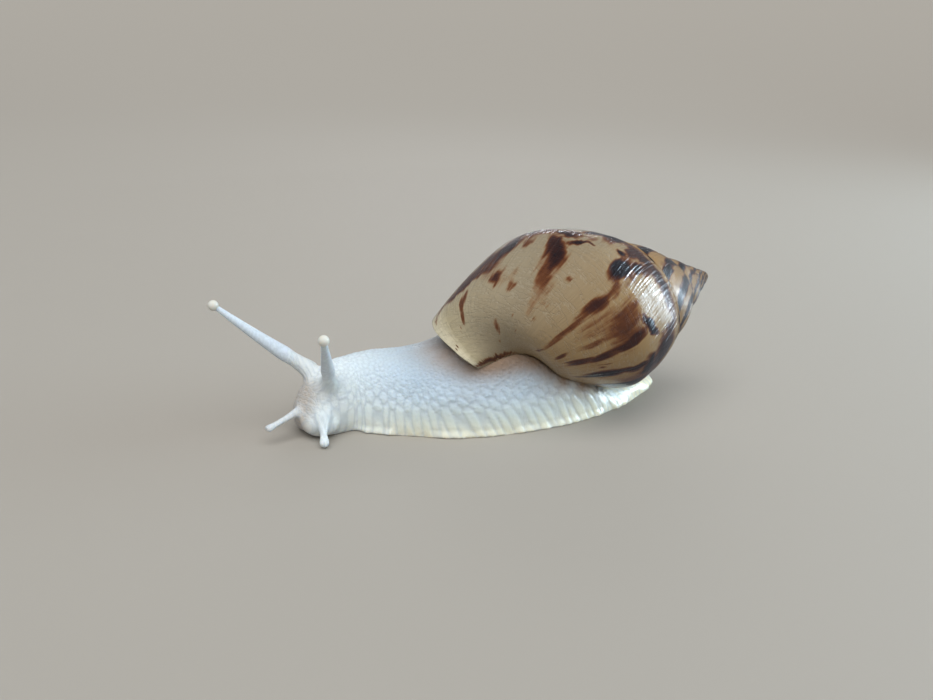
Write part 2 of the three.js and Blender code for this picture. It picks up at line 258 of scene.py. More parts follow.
# Pigment is laid down along growth lines: dark flames that cross the whorl, and spots.
# Each mark: turn in degrees behind the lip, place across the whorl, half widths in both,
# how far it leans in degrees over the whorl's full width, and how dark it is.
placed_marks = np.array([
    (-198, 0.30, 10, 0.12, 0, 0.75), (-194, 0.43, 11, 0.035, 0, 0.9),
    (-212, 0.50, 7, 0.06, 0, 0.95), (-189, 0.50, 4.0, 0.05, 0, 0.75),
    (-189, 0.57, 5.0, 0.05, 0, 0.85), (-190, 0.61, 3.5, 0.03, 0, 0.6),
    (-165, 0.40, 6, 0.045, 200, 1.0), (-164, 0.50, 4.5, 0.07, 0, 0.62),
    (-166, 0.575, 4, 0.03, 0, 0.60), (-164, 0.625, 4, 0.03, 0, 0.62),
    (-176, 0.577, 14, 0.004, 0, 0.45), (-147, 0.53, 12, 0.03, 0, 0.30),
    (-152, 0.59, 3, 0.03, 0, 0.35), (-150, 0.66, 2, 0.02, 0, 0.45),
    (-124.5, 0.405, 6.8, 0.078, 30, 1.05), (-132, 0.30, 3.5, 0.05, 0, 0.75),
    (-137, 0.24, 4, 0.06, 0, 0.6), (-122, 0.25, 5, 0.05, 0, 0.65),
    (-119, 0.32, 3.6, 0.018, 0, 0.95), (-127, 0.19, 14, 0.05, 0, 0.65),
    (-150, 0.17, 14, 0.06, 0, 0.55), (-160, 0.20, 12, 0.03, 0, 0.5),
    (-128.5, 0.50, 4.0, 0.04, 0, 0.38), (-130, 0.555, 4.8, 0.034, 0, 0.64),
    (-131.5, 0.605, 3.4, 0.04, 0, 0.46), (-132.5, 0.65, 2.4, 0.05, 0, 0.36),
    (-131.5, 0.708, 2.6, 0.009, 0, 0.55), (-85.5, 0.515, 6.5, 0.05, -110, 0.74),
    (-90, 0.58, 5.2, 0.035, -120, 0.44), (-94, 0.625, 4, 0.03, -120, 0.24),
    (-96, 0.452, 3.2, 0.034, 200, 0.86), (-98, 0.38, 2.6, 0.07, 0, 0.35),
    (-85, 0.435, 8, 0.02, 0, 0.8), (-88, 0.39, 6, 0.04, 0, 0.6),
    (-68, 0.475, 9, 0.012, 200, 0.45), (-65, 0.518, 3.8, 0.012, 0, 0.42),
    (-52, 0.53, 5.5, 0.045, 0, 0.78), (-47, 0.575, 8, 0.022, 0, 0.5),
    (-58.5, 0.614, 5.6, 0.015, 0, 0.62), (-75, 0.617, 4.2, 0.011, 0, 0.42),
    (-35, 0.61, 6, 0.04, 450, 0.6), (-36, 0.668, 3.4, 0.032, 0, 0.46),
    (-34.5, 0.712, 3.2, 0.026, 0, 0.42), (-73.5, 0.728, 3.8, 0.028, -110, 0.40),
    (-76, 0.785, 3, 0.008, 0, 0.35), (-95, 0.712, 1.6, 0.004, 0, 0.5),
    (-28, 0.748, 3, 0.004, 0, 0.5), (-88, 0.683, 2.5, 0.004, 0, 0.5),
    (-106, 0.545, 4, 0.004, 0, 0.4), (-106, 0.613, 4, 0.004, 0, 0.35),
    (-104, 0.648, 3, 0.004, 0, 0.4), (-9, 0.80, 1.2, 0.004, 0, 0.6),
    (-12, 0.79, 1.0, 0.003, 0, 0.5), (-6, 0.815, 1.0, 0.004, 0, 0.5),
    (-4, 0.68, 3.0, 0.015, 0, 0.30), (-9, 0.655, 4.0, 0.018, 0, 0.34),
])

# Washes: the same six numbers, for broad soft stains of amber and brown.
placed_washes = np.array([
    (-152, 0.50, 15, 0.07, -60, 0.44), (-143, 0.565, 10, 0.04, 0, 0.28),
    (-172, 0.58, 22, 0.05, 0, 0.16), (-205, 0.40, 16, 0.14, 0, 0.48),
    (-165, 0.66, 40, 0.06, 0, 0.14), (-37, 0.573, 8, 0.08, 286, 0.62),
    (-66, 0.46, 12, 0.05, 240, 0.55), (-150, 0.17, 30, 0.06, 0, 0.66),
    (-187, 0.27, 9, 0.13, -40, 0.72), (-128, 0.36, 10, 0.11, 20, 0.36),
    (-89, 0.53, 8, 0.10, -100, 0.26), (-58, 0.60, 16, 0.02, 0, 0.22),
    (-112, 0.15, 20, 0.08, 0, 0.45), (-215, 0.50, 8, 0.10, 0, 0.5),
    (-240, 0.30, 20, 0.30, 0, 0.42), (-52, 0.893, 15, 0.07, 747, 0.62),
])

unplaced_from = -232.0  # older than this, in degrees, the flames come by chance


def grown_flames():
    """Flames over the rest of the shell: every 22 to 32 degrees of turn one flame crosses
    the whorl, wide and dark by the suture, thinner below, with a spot beside some. A few
    more cross the top of the newest turn."""
    flames = []
    turn = unplaced_from
    while turn > shell_oldest / DEGREE:
        width = random.uniform(5, 9)
        flames.append((turn, 0.20, width, 0.2, random.uniform(-15, 15), random.uniform(0.55, 1.0)))
        flames.append((turn - 4, 0.45, width * 0.8, 0.14, random.uniform(-50, 20), 0.95))
        flames.append((turn - 6, 0.66, width * 0.6, 0.10, random.uniform(-40, 40), 0.8))
        if random.random() < 0.6:
            flames.append((turn + random.uniform(8, 14), random.uniform(0.25, 0.55),
                           3.0, 0.03, 0, 0.8))
        turn -= random.uniform(22, 32)
    for turn, top in ((-102, 0.12), (-66, 0.22), (-30, 0.30), (-8, 0.38)):
        flames.append((turn, top, 7, 0.2, random.uniform(-30, 30), 0.85))
        flames.append((turn + 4, top + 0.12, 6, 0.1, 60, 1.0))
    return np.array(flames)


def laid_pigment(grown_degrees, k, marks, fringe):
    """Pigment at each point: for each mark, 1 inside an ellipse in turn and width, easing
    to 0 over the fringe, times its darkness; the darkest mark counts."""
    pigment = np.zeros(np.broadcast(grown_degrees, k).shape)
    for turn, place, half_turn, half_width, lean, dark in marks:
        aside = (grown_degrees - turn - lean * (k - place)) / half_turn
        reach = np.sqrt(aside**2 + ((k - place) / half_width) ** 2)
        pigment = np.maximum(pigment, dark * smooth((0.95 + fringe / 2 - reach) / fringe))
    return pigment


def soft_noise(x, y, seed):
    """Smooth noise from -1 to 1: random values on whole numbers, eased between them."""
    table = np.random.default_rng(seed).uniform(-1, 1, (256, 256))
    x, y = np.broadcast_arrays(x, y)
    i, j = np.floor(x).astype(int), np.floor(y).astype(int)
    u, v = smooth(x - i), smooth(y - j)
    corner = [table[(i + a) % 256, (j + b) % 256] for a in (0, 1) for b in (0, 1)]
    return mix(mix(corner[0], corner[2], u), mix(corner[1], corner[3], u), v)


grown_degrees = grown[:, None] / DEGREE
ragged = (1.6 * soft_noise(grown_degrees / 9, across[None] * 34, 1)
          + 1.3 * soft_noise(grown_degrees / 1.4, across[None] * 14, 2))
feathered = 0.012 * soft_noise(grown_degrees / 2.2, across[None] * 9, 3)
marks = np.concatenate([placed_marks, grown_flames()])
mark_fringe, wash_fringe = 0.95, 1.5
flames = laid_pigment(grown_degrees + ragged, across[None] + feathered, marks, mark_fringe)
washes = laid_pigment(grown_degrees + 2 * ragged, across[None] + feathered, placed_washes,
                      wash_fringe)
both_laid, spire_stain = 0.25, 0.13
pigment = np.maximum(flames, washes) + both_laid * np.minimum(flames, washes)
pigment = pigment + spire_stain * smooth((-370 - grown_degrees) / 80)
pigment_map = ring_attribute(pigment, 0.0)
row_turns = grown[:, None] / TURN
turn_map = ring_attribute(np.repeat(row_turns, len(across), 1), row_turns)
across_map = ring_attribute(np.repeat(across[None], len(grown), 0), inner_k[::-1])
shell_mesh = ring_mesh("spiral_shell", ring)
keep_values(shell_mesh, turn=turn_map, across=across_map, pigment=pigment_map)
spiral_shell = add_object("spiral_shell", shell_mesh)


class Material:
    """A node material under one Principled shader, with short ways to add nodes."""

    def __init__(self, name):
        self.material = bpy.data.materials.new(name)
        self.material.use_nodes = True
        self.nodes = self.material.node_tree.nodes
        self.links = self.material.node_tree.links
        self.shader = self.nodes["Principled BSDF"]

    def node(self, kind, settings=None, **inputs):
        """A new node. Its inputs are named with _ for a space, or i and a number."""
        made = self.nodes.new("ShaderNode" + kind)
        for key, value in (settings or {}).items():
            setattr(made, key, value)
        for key, value in inputs.items():
            self.put(made.inputs[int(key[1:]) if key[0] == "i" and key[1:].isdigit() else
                                 key.replace("_", " ")], value)
        return made

    def put(self, socket, value):
        """Links the value to the socket if it is a socket too, or else sets it there."""
        if isinstance(value, bpy.types.NodeSocket):
            self.links.new(value, socket)
        else:
            socket.default_value = value

    def dress(self, **values):
        """Sets or links sockets of the shader, named with _ for a space."""
        for key, value in values.items():
            self.put(self.shader.inputs[key.replace("_", " ")], value)

    def maths(self, operation, *values):
        """The result of one Math node."""
        made = self.node("Math", {"operation": operation})
        for socket, value in zip(made.inputs, values):
            self.put(socket, value)
        return made.outputs[0]

    def ramp(self, value, stops):
        """A colour that goes through the stops, each a place from 0 to 1 and a colour."""
        made = self.node("ValToRGB", i0=value)
        elements = made.color_ramp.elements
        while len(elements) < len(stops):
            elements.new(0.5)
        for element, (place, colour) in zip(elements, stops):
            element.position = place
            element.color = (*colour, 1)
        return made.outputs["Color"]

    def blend(self, share, first, second):
        """The first colour, with so large a share of the second."""
        return self.node("MixRGB", Fac=share, Color1=first, Color2=second).outputs[0]

    def eased(self, value, first, last, least=0.0, kind="LINEAR"):
        """A share that goes from `least` to 1 as the value goes from first to last."""
        return self.node("MapRange", {"interpolation_type": kind}, Value=value,
                         From_Min=first, From_Max=last, To_Min=least).outputs[0]

    def attribute(self, name):
        """A value kept on the mesh's points."""
        return self.node("Attribute", {"attribute_name": name}).outputs["Fac"]

    def noise(self, vector, scale, detail, roughness):
        """Noise from about 0 to 1 at a place, times the scale."""
        made = self.node("TexNoise", Vector=vector, Scale=scale, Detail=detail,
                         Roughness=roughness)
        return made.outputs["Fac"]


def shell_finish():
    """Glossy horny skin over chalk: cream to olive ground, amber to black flames, and fine
    growth lines in colour and relief, all in the shell's own turn and width."""
    finish = Material("shell_skin")
    turn, width = finish.attribute("turn"), finish.attribute("across")

    def stretched(along, over, level):
        """A place on the shell's own surface, stretched by so much along and over it."""
        return finish.node("CombineXYZ", X=finish.maths("MULTIPLY", turn, along),
                           Y=finish.maths("MULTIPLY", width, over), Z=level).outputs[0]

    streaks = finish.noise(stretched(90.0, 14.0, 0.0), 1.0, 5.0, 0.6)
    lines = finish.noise(stretched(420.0, 20.0, 3.0), 1.0, 3.0, 0.6)
    ribs = finish.noise(stretched(250.0, 4.0, 7.0), 1.0, 0.0, 0.5)
    here = finish.node("TexCoord").outputs["Object"]
    blotches = finish.noise(here, 160.0, 4.0, 0.6)
    specks = finish.noise(here, 900.0, 2.0, 0.6)

    # The ground: cream at the lip, olive and then amber with age, worn in blotches, and
    # crossed by fine pale scratches where the creasing noise passes its middle.
    aged = finish.ramp(finish.maths("MULTIPLY", turn, -1.0), (
        (0.0, (0.81, 0.75, 0.54)), (0.022, (0.76, 0.69, 0.49)), (0.05, (0.50, 0.44, 0.285)),
        (0.12, (0.37, 0.32, 0.215)), (0.24, (0.275, 0.23, 0.155)), (0.42, (0.36, 0.23, 0.10)),
        (0.75, (0.36, 0.20, 0.065)),
    ))
    worn = finish.blend(finish.maths("MULTIPLY", blotches, 0.5), aged, (0.26, 0.19, 0.10, 1))
    creasing = finish.noise(stretched(14.0, 46.0, 1.0), 1.0, 4.0, 0.6)
    off_crease = finish.maths("ABSOLUTE", finish.maths("SUBTRACT", creasing, 0.5))
    creases = finish.maths("MINIMUM", off_crease, 0.035)
    in_crease = finish.maths("SUBTRACT", 0.016, finish.maths("MINIMUM", creases, 0.016))
    scratched = finish.blend(finish.maths("MULTIPLY", in_crease, 15.0), worn,
                             (0.56, 0.50, 0.38, 1))
    ground = finish.blend(finish.maths("MULTIPLY", lines, 0.34), scratched,
                          (0.16, 0.10, 0.045, 1))

    # The pigment is made uneven by the noises, and covers the ground as it gets stronger.
    uneven = finish.attribute("pigment")
    for noise, share in ((streaks, 0.42), (specks, 0.16), (lines, 0.22)):
        uneven = finish.maths("ADD", uneven, finish.maths(
            "MULTIPLY", finish.maths("SUBTRACT", noise, 0.5), share))
    pigment = finish.ramp(uneven, (
        (0.0, (0.30, 0.165, 0.05)), (0.32, (0.15, 0.050, 0.014)), (0.62, (0.046, 0.013, 0.007)),
        (0.92, (0.006, 0.003, 0.005)),
    ))
    cover = finish.eased(uneven, 0.06, 0.44, kind="SMOOTHSTEP")

    # The chalk below has the fine relief. The varnish over it is smoother, and ribbed.
    height = finish.maths("ADD", finish.maths("MULTIPLY", lines, 0.8),
                          finish.maths("MULTIPLY", creases, 10.0))
    ribbed = finish.maths("ADD", finish.maths("MULTIPLY", height, 0.35),
                          finish.maths("MULTIPLY", ribs, 2.0))
    chalk = finish.node("Bump", Strength=0.8, Distance=0.00026, Height=height)
    varnish = finish.node("Bump", Strength=0.6, Distance=0.00020, Height=ribbed)
    finish.dress(Base_Color=finish.blend(cover, ground, pigment), Roughness=0.42,
                 Specular_IOR_Level=0.1, Coat_Weight=0.8, Coat_Roughness=0.07,
                 Normal=chalk.outputs[0], Coat_Normal=varnish.outputs[0])
    return finish.material


spiral_shell.data.materials.append(shell_finish())
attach(spiral_shell, "root")
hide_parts("shell")

# ---------------------------------------------------------------- skin
# One skin of soft wet flesh covers head, neck, foot, tail, feelers and the collar that
# fills the mouth of the shell. It is cast as one, with no seam, over forms worked out
# from the middle line of the body.

body_stations = np.array([
    # x, y, half width, height, width at the sole
    (-38.9, 1.0, 4.5, 10.6, 0.60),
    (-35.5, 2.2, 5.2, 11.8, 0.74),
    (-31.0, 3.8, 5.9, 12.2, 0.90),
    (-26.0, 3.2, 7.5, 13.1, 1.02),
    (-19.0, 1.4, 9.3, 13.6, 1.04),
    (-11.0, -0.7, 10.8, 16.5, 1.04),
    (-2.0, -1.2, 11.3, 22.0, 1.04),
    (7.0, -0.4, 11.2, 17.0, 1.04),
    (14.0, 0.9, 10.6, 7.0, 1.04),
    (22.0, 2.1, 8.8, 4.4, 1.04),
    (29.5, 3.1, 5.6, 3.0, 1.04),
    (34.4, 4.0, 2.6, 1.8, 1.04),
])
margin_height, arch_order = 2.0, 2.3


def body_rings(share, around, shrink, ahead, lift_to):
    """Body sections as a grid: superellipse arches on the middle line, wider near the sole
    by the margin's flare. shrink, ahead and lift_to round the two ends."""
    x, y, half, top, sole = (spline(body_stations[:, i], share) for i in range(5))
    centre = np.stack([x, y, 0 * x], axis=-1)
    along = np.gradient(centre[:, :2], share, axis=0)
    along /= np.linalg.norm(along, axis=1, keepdims=True)
    side = np.stack([-along[:, 1], along[:, 0], 0 * x], axis=-1)
    along = np.concatenate([along, 0 * x[:, None]], axis=1)
    turned = np.pi * around
    lift = np.maximum(np.sin(turned), 0) ** (2 / arch_order) * top[:, None]
    flare = 1 + (sole[:, None] - 1) * np.exp(-lift / margin_height)
    reach = np.sign(np.cos(turned)) * np.abs(np.cos(turned)) ** (2 / arch_order)
    across_body = half[:, None] * reach[None, :] * flare * shrink[:, None]
    points = centre[:, None] + side[:, None] * across_body[..., None]
    points = points + along[:, None] * ahead[:, None, None]
    points[..., 2] = lift_to[:, None] + (lift - lift_to[:, None]) * shrink[:, None]
    return points


def rounded(length, count):
    """How far the rings of a round end reach ahead, and by how much they shrink."""
    almost_closed = 0.985 * np.pi / 2
    reach = np.sin(np.linspace(0, almost_closed, count))
    return reach * length, np.sqrt(1 - reach**2)


# The rings of the rounded ends stand at almost one place on the line, a hair apart so that
# the direction of the line can be worked out for each.
end_rings, nose_height = 13, 4.6
nose_ahead, nose_shrink = rounded(1.9, end_rings + 1)
tail_ahead, tail_shrink = rounded(0.7, end_rings + 1)
length_share = np.linspace(0, 1, 320)
hairs = np.arange(end_rings) * 1e-6
body_share = np.concatenate([hairs, 2e-5 + length_share * 0.9999, 0.99993 + hairs])
body_ahead = np.concatenate([-nose_ahead[:0:-1], 0 * length_share, tail_ahead[1:]])
body_shrink = np.concatenate([nose_shrink[:0:-1], 1 + 0 * length_share, tail_shrink[1:]])
body_lift = np.concatenate([np.full(end_rings, nose_height), 0 * length_share,
                            np.zeros(end_rings)])
body = body_rings(body_share, np.linspace(0, 1, 121), body_shrink, body_ahead, body_lift)

# The face slopes back above the mouth.
face_back = 1.4
on_face = smooth((-33.5 - body[..., 0]) / 4.5)
body[..., 0] += face_back * on_face * smooth((body[..., 2] - 3) / 7)

# The back of the foot is pressed flat where the shell lies on it: the lowest point of the
# shell over each cell of the ground is the most that the skin reaches there.
cell, cells_long, cells_wide = 0.5, 220, 120
ground_x, ground_y = -55, -30  # the corner of the first cell
sunk_into_shell, thinnest_foot = 0.15, 0.6


def ground_cell(points):
    """The cell of the ground under each point."""
    column = np.clip(((points[..., 0] - ground_x) / cell).astype(int), 0, cells_long - 1)
    row = np.clip(((points[..., 1] - ground_y) / cell).astype(int), 0, cells_wide - 1)
    return column, row


shell_underside = np.full((cells_long, cells_wide), 99.0)
np.minimum.at(shell_underside, ground_cell(outer), outer[..., 2])
under_shell = shell_underside[ground_cell(body)] + sunk_into_shell
body[..., 2] = np.minimum(body[..., 2], np.maximum(under_shell, thinnest_foot))


def tube(start, end, radii, bend):
    """A round tube along a line with a bow added by sin, its radius a spline of the share,
    and a round end past the last one."""
    start, end = np.array(start, float), np.array(end, float)
    share = np.linspace(0, 1, 60)
    along = (end - start) / np.linalg.norm(end - start)
    side = np.cross(along, (0, 0, 1))
    side /= np.linalg.norm(side)
    up = np.cross(side, along)
    turned = np.linspace(0, TURN, 28, endpoint=False)
    ring = np.cos(turned)[:, None] * side + np.sin(turned)[:, None] * up
    bow = np.array(bend) * np.sin(np.pi * share)[:, None]
    middle = start + (end - start) * share[:, None] + bow
    ahead, shrink = rounded(radii[-1], 8)
    middle = np.concatenate([middle, end + along * ahead[1:, None]])
    radius = np.concatenate([spline(radii, share), radii[-1] * shrink[1:]])
    return middle[:, None] + ring[None] * radius[:, None, None]


def ball(centre, radii):
    """An ellipsoid as a grid of rings from pole to pole."""
    polar = np.linspace(0.04, np.pi - 0.04, 32)[:, None]
    turned = np.linspace(0, TURN, 48, endpoint=False)[None]
    unit = np.stack([np.sin(polar) * np.cos(turned), np.sin(polar) * np.sin(turned),
                     np.cos(polar) + 0 * turned], axis=-1)
    return unit * np.array(radii) + np.array(centre)


# Each feeler: its root, its tip, its radii on the way, and how far its middle bows.
feelers = {
    "upper_right": ((-37.1, 3.7, 10.4), (-52.67, 10.22, 22.09),
                    (2.0, 1.65, 1.45, 1.3, 1.15, 1.0, 0.86, 0.72, 0.58, 0.46), (0, 0, -0.25)),
    "upper_left": ((-35.3, -0.3, 8.9), (-39.94, -11.88, 20.88),
                   (2.1, 1.7, 1.42, 1.25, 1.10, 0.96, 0.83, 0.71, 0.6, 0.52), (0, 0, 0)),
    "lower_right": ((-39.0, 1.5, 5.0), (-46.7, -1.75, 2.95),
                    (1.2, 0.98, 0.84, 0.75, 0.70, 0.67, 0.68, 0.76), (0, 0, -0.3)),
    "lower_left": ((-37.2, -1.6, 4.6), (-38.35, -6.55, 1.0),
                   (2.2, 2.0, 1.7, 1.35, 1.02, 0.78, 0.62, 0.72, 0.84), (0, 0, 0)),
}

# A soft lobe stands on each side of the mouth, and one over it, with a cleft down them.
mouth_lobes = [((-37.3, -1.2, 2.5), (3.4, 2.9, 2.4)), ((-37.9, 4.0, 2.2), (3.0, 2.4, 2.1)),
               ((-38.8, 1.2, 3.0), (2.4, 2.9, 2.8))]

# The collar fills the mouth of the shell from deep inside up to just behind the lip.
collar_inset = 0.65
collar_grown = np.linspace(-32, -1.6, 28) * DEGREE
over_collar = shell_surface(collar_grown, np.linspace(0, 1, 60))
collar = over_collar - outward_normals(over_collar) * collar_inset
chord_points = mix(collar[:, -1:], collar[:, :1], np.linspace(0, 1, 30)[None, 1:-1, None])
collar = np.concatenate([collar, chord_points], axis=1)

forms = [body, *(tube(*feeler) for feeler in feelers.values()),
         *(ball(centre, size) for centre, size in mouth_lobes), collar]
parts = [add_object("form", ring_mesh("form", form)) for form in forms]
bpy.ops.object.select_all(action="DESELECT")
for part in parts:
    part.select_set(True)
bpy.context.view_layer.objects.active = parts[0]
bpy.ops.object.join()
body_skin = bpy.context.view_layer.objects.active
body_skin.name = "body_skin"
skin_grain = 0.283  # it keeps the skin under 200,000 triangles
melt = body_skin.modifiers.new("melt", "REMESH")
melt.mode = "VOXEL"
melt.voxel_size = skin_grain * MM
graph = bpy.context.evaluated_depsgraph_get()
skin_mesh = bpy.data.meshes.new_from_object(body_skin.evaluated_get(graph))
body_skin.modifiers.clear()
body_skin.data = skin_mesh

edges = np.empty(len(skin_mesh.edges) * 2, np.int32)
skin_mesh.edges.foreach_get("vertices", edges)
edges = edges.reshape(-1, 2)
points = np.empty(len(skin_mesh.vertices) * 3)
skin_mesh.vertices.foreach_get("co", points)
points = points.reshape(-1, 3) / MM
neighbours = np.bincount(edges.ravel(), minlength=len(points))[:, None]


def set_points(mesh, points):
    """Moves the mesh's points to places in millimetres."""
    mesh.vertices.foreach_set("co", (points * MM).astype(np.float32).ravel())


def relaxed(values, share, times):
    """Moves each value by its share toward the mean of its neighbours, several times."""
    for _ in range(times):
        total = np.stack([
            np.bincount(edges[:, 0], column[edges[:, 1]], len(values))
            + np.bincount(edges[:, 1], column[edges[:, 0]], len(values))
            for column in values.T
        ], axis=-1)
        values = values + share * (total / neighbours - values)
    return values


def feeler_reach(points, start, end, radii):
    """Distance from a feeler's line in units of its radius there, and the share along it."""
    start, end = np.array(start), np.array(end)
    line = end - start
    share = np.clip((points - start) @ line / (line @ line), 0, 1)
    away = np.linalg.norm(points - start - share[:, None] * line, axis=1)
    return away / np.interp(share, np.linspace(0, 1, len(radii)), radii), share


# The forms melt into each other: most smoothing where the feelers and lobes leave the head.
root_shares = (0.30, 0.36, 0.22, 0.22)  # how far along each feeler its melted root goes
reaches = [feeler_reach(points, start, end, radii) for start, end, radii, _ in feelers.values()]
rooted = np.zeros(len(points))
on_feeler = np.zeros(len(points))
for (reach, share), root_share in zip(reaches, root_shares):
    near, root_left = smooth((2.3 - reach) / 1.1), root_share - share
    rooted = np.maximum(rooted, near * smooth(root_left / (0.4 * root_share)))
    past_root = smooth((share - 0.6 * root_share) / 0.12)
    on_feeler = np.maximum(on_feeler, smooth((1.7 - reach) / 0.6) * past_root)
lobed = smooth((-35 - points[:, 0]) / 2) * smooth((7.5 - points[:, 2]) / 2)
melting = np.maximum(rooted, 0.55 * lobed * (1 - on_feeler))[:, None]
points = relaxed(points, 0.5 * (1 - on_feeler[:, None]), 5)
for share in (0.5, -0.52) * 16:  # on thin feelers a swelling follows each smoothing
    points = relaxed(points, share * on_feeler[:, None], 1)
points = relaxed(points, 0.5 * melting, 60)

# Places on the skin: length along the middle line, how far aside of it, and the way up
# over the skin from the foot's edge, a quarter of a circle for the straight ways up and in.
quarter_circle = 0.785
line_share = np.linspace(0, 1, 400)
line_x, line_y = (spline(body_stations[:, i], line_share) for i in (0, 1))
line_length = np.concatenate([[0], np.cumsum(np.hypot(np.diff(line_x), np.diff(line_y)))])
line_heading = np.arctan2(np.gradient(line_y), np.gradient(line_x))
along = np.interp(points[:, 0], line_x, line_length)
for _ in range(4):
    heading = np.interp(along, line_length, line_heading)
    east = points[:, 0] - np.interp(along, line_length, line_x)
    north = points[:, 1] - np.interp(along, line_length, line_y)
    along = along + 0.8 * (east * np.cos(heading) + north * np.sin(heading))
aside = north * np.cos(heading) - east * np.sin(heading)
half_here = np.interp(along, line_length, spline(body_stations[:, 2], line_share))
rise = quarter_circle * (points[:, 2] + np.maximum(half_here - np.abs(aside), 0))


def tubercles(along, rise, wide, tall, shake, seed):
    """Height of pebbled skin, 0 in the grooves and 1 on top: cells round jittered centres,
    with a groove where the nearest two centres are equally far. Columns lean back toward
    the tail, and near the foot's edge the cells draw out into upright ribs."""
    lean = 0.6 * smooth((along - 12) / 22)
    column = (along + lean * rise) / wide
    row = np.where(rise > 3.6, rise, 3.6 - (3.6 - rise) * 0.25) / tall
    jitter = np.random.default_rng(seed).uniform(-shake, shake, (64, 64, 2))
    nearest = np.full(len(along), 9.0)
    second = nearest.copy()
    base_column = np.floor(column).astype(int)
    for i in (-1, 0, 1):
        cell_column = base_column + i
        offset = 0.5 * (cell_column % 2)
        base_row = np.floor(row - offset).astype(int)
        for j in (-1, 0, 1, 2):
            cell_row = base_row + j
            move = jitter[cell_column % 64, cell_row % 64]
            away = np.hypot(column - cell_column - 0.5 - move[:, 0],
                            row - cell_row - offset - move[:, 1])
            second = np.minimum(second, np.maximum(nearest, away))
            nearest = np.minimum(nearest, away)
    return smooth((second - nearest) / 0.42) * (1 - 0.35 * nearest**2)


# Relief: large pebbles below and smaller ones higher up, folds, ridges along the back of
# the neck, creases on the snout, the cleft of the mouth and a groove over the foot's edge.
large = tubercles(along, rise, 1.55, 2.3, 0.24, 21)
small = tubercles(along, rise, 1.0, 0.95, 0.42, 22)
upper = smooth((rise - 6.0) / 4.5)
pebbles = mix(large, small, upper)
behind_face = smooth((along - 5) / 9)
before_tail = mix(0.15, 1, smooth((72 - along) / 26))
on_sole = smooth((0.9 - points[:, 2]) / 0.7)
large_depth, small_depth, groove_share = 0.17, 0.10, 0.6  # the last goes inward
depth = mix(large_depth, small_depth, upper) * behind_face * (1 - on_feeler) * (1 - on_sole)
depth = depth * before_tail
folds = (0.14 * soft_noise(along / 6.5, rise / 3.2, 11)
         + 0.05 * soft_noise(along / 1.7, rise / 2.6, 12))
ridge_height, crease_depth, cleft_depth, hem_depth = 0.16, 0.05, 0.4, 0.06
ridged = soft_noise(along / 1.15, np.abs(aside) * 3, 13) * smooth((1.9 - np.abs(aside)) / 0.6)
ridged = ridged * smooth((points[:, 2] - 7) / 3) * ridge_height
snout = smooth((5 - along) / 4) * smooth((7.5 - points[:, 2]) / 2.5)
creased = crease_depth * soft_noise(along * 1.15 + 3 * rise / 9, rise / 3.4, 14) * snout
cleft_width, hem_height, hem_width = 0.55, 1.35, 0.45
cleft = np.exp(-(aside / cleft_width) ** 2) * smooth((-1.0 - along) / 0.8)
cleft = cleft * smooth((4.2 - points[:, 2]) / 1.4)
hem = np.exp(-((points[:, 2] - hem_height) / hem_width) ** 2)
hem = hem * smooth((along - 4) / 4) * smooth((80 - along) / 6)
normals = np.empty(len(points) * 3)
set_points(skin_mesh, points)
skin_mesh.update()
skin_mesh.vertices.foreach_get("normal", normals)
normals = normals.reshape(-1, 3)
soft_relief = (folds * behind_face + ridged + creased) * (1 - on_feeler) * (1 - on_sole)
relief = depth * (pebbles - groove_share) + soft_relief
relief = relief - cleft_depth * cleft - hem_depth * hem
points = points + normals * relief[:, None]

# The foot's edge waves a little in and out, and lies flat on the ground.
edge_wave = 0.30 * soft_noise(along / 3.1, 0, 15) + 0.16 * soft_noise(along / 1.1, 0, 16)
edge_inset = 0.05
edge = smooth((1.5 - points[:, 2]) / 1.2) * smooth((along - 3) / 3)
points[:, :2] += normals[:, :2] * (edge * (edge_wave - edge_inset))[:, None]
points[:, 2] = np.maximum(points[:, 2], 0)

# The breathing hole opens on the right of the collar, near the top of the lip.
breath = shell_surface(np.array([-3.0, -2.0]) * DEGREE, np.array([0.10, 0.14]))[0, 0]
breath = mix(breath, np.array([-12.0, 6.0, 12.0]), 0.16)  # a little inward from the lip
hole_radius, hole_depth = 1.3, 1.1
hole = smooth(1.5 - np.linalg.norm((points - breath) / hole_radius, axis=1))
points = points - normals * (hole_depth * hole)[:, None]
set_points(skin_mesh, points)

# How close the shell is, for painted shade: the skin close to the shell is painted brown, as in
# the shade under it. By the lip the painted shade goes further over the skin, high up more than
# low down.
squared_distance = np.full(len(points), 99.0)
newest_shell = outer[grown > -230 * DEGREE][::9, ::5].reshape(-1, 3)
for spot in newest_shell:
    squared_distance = np.minimum(squared_distance, np.sum((points - spot) ** 2, axis=1))
shade_reach, lip_shade_reach = 2.4, 5.2
under_lip = smooth((45 - along) / 8)
shaded = np.exp(-squared_distance / mix(shade_reach, lip_shade_reach, under_lip) ** 2)
shaded = shaded * mix(1, mix(0.3, 1, smooth((points[:, 2] - 8.5) / 4)), under_lip)

# The feelers have their own tint, weaker on the lower two. The face is beige and partly painted
# shade: more on its right side, turned from the light, and less on top, where the light falls.
on_lower = np.max([smooth((1.9 - reach) / 0.6) for reach, _ in reaches[2:]], axis=0)
feeler_tint = relaxed((on_feeler * (1 - 0.6 * on_lower))[:, None], 0.5, 40)[:, 0]
face_beige_and_shade = smooth((8 - along) / 7) * (1 - feeler_tint)
face_beige_and_shade = face_beige_and_shade * mix(0.3, 1, smooth((aside + 4.5) / 4))
face_beige_and_shade = face_beige_and_shade * (1 - 0.7 * smooth((points[:, 2] - 8) / 3))
keep_values(skin_mesh, along=along, rise=rise, tops=pebbles, face=face_beige_and_shade,
            feeler=feeler_tint, shaded=shaded, hole=hole)
skin_mesh.shade_smooth()


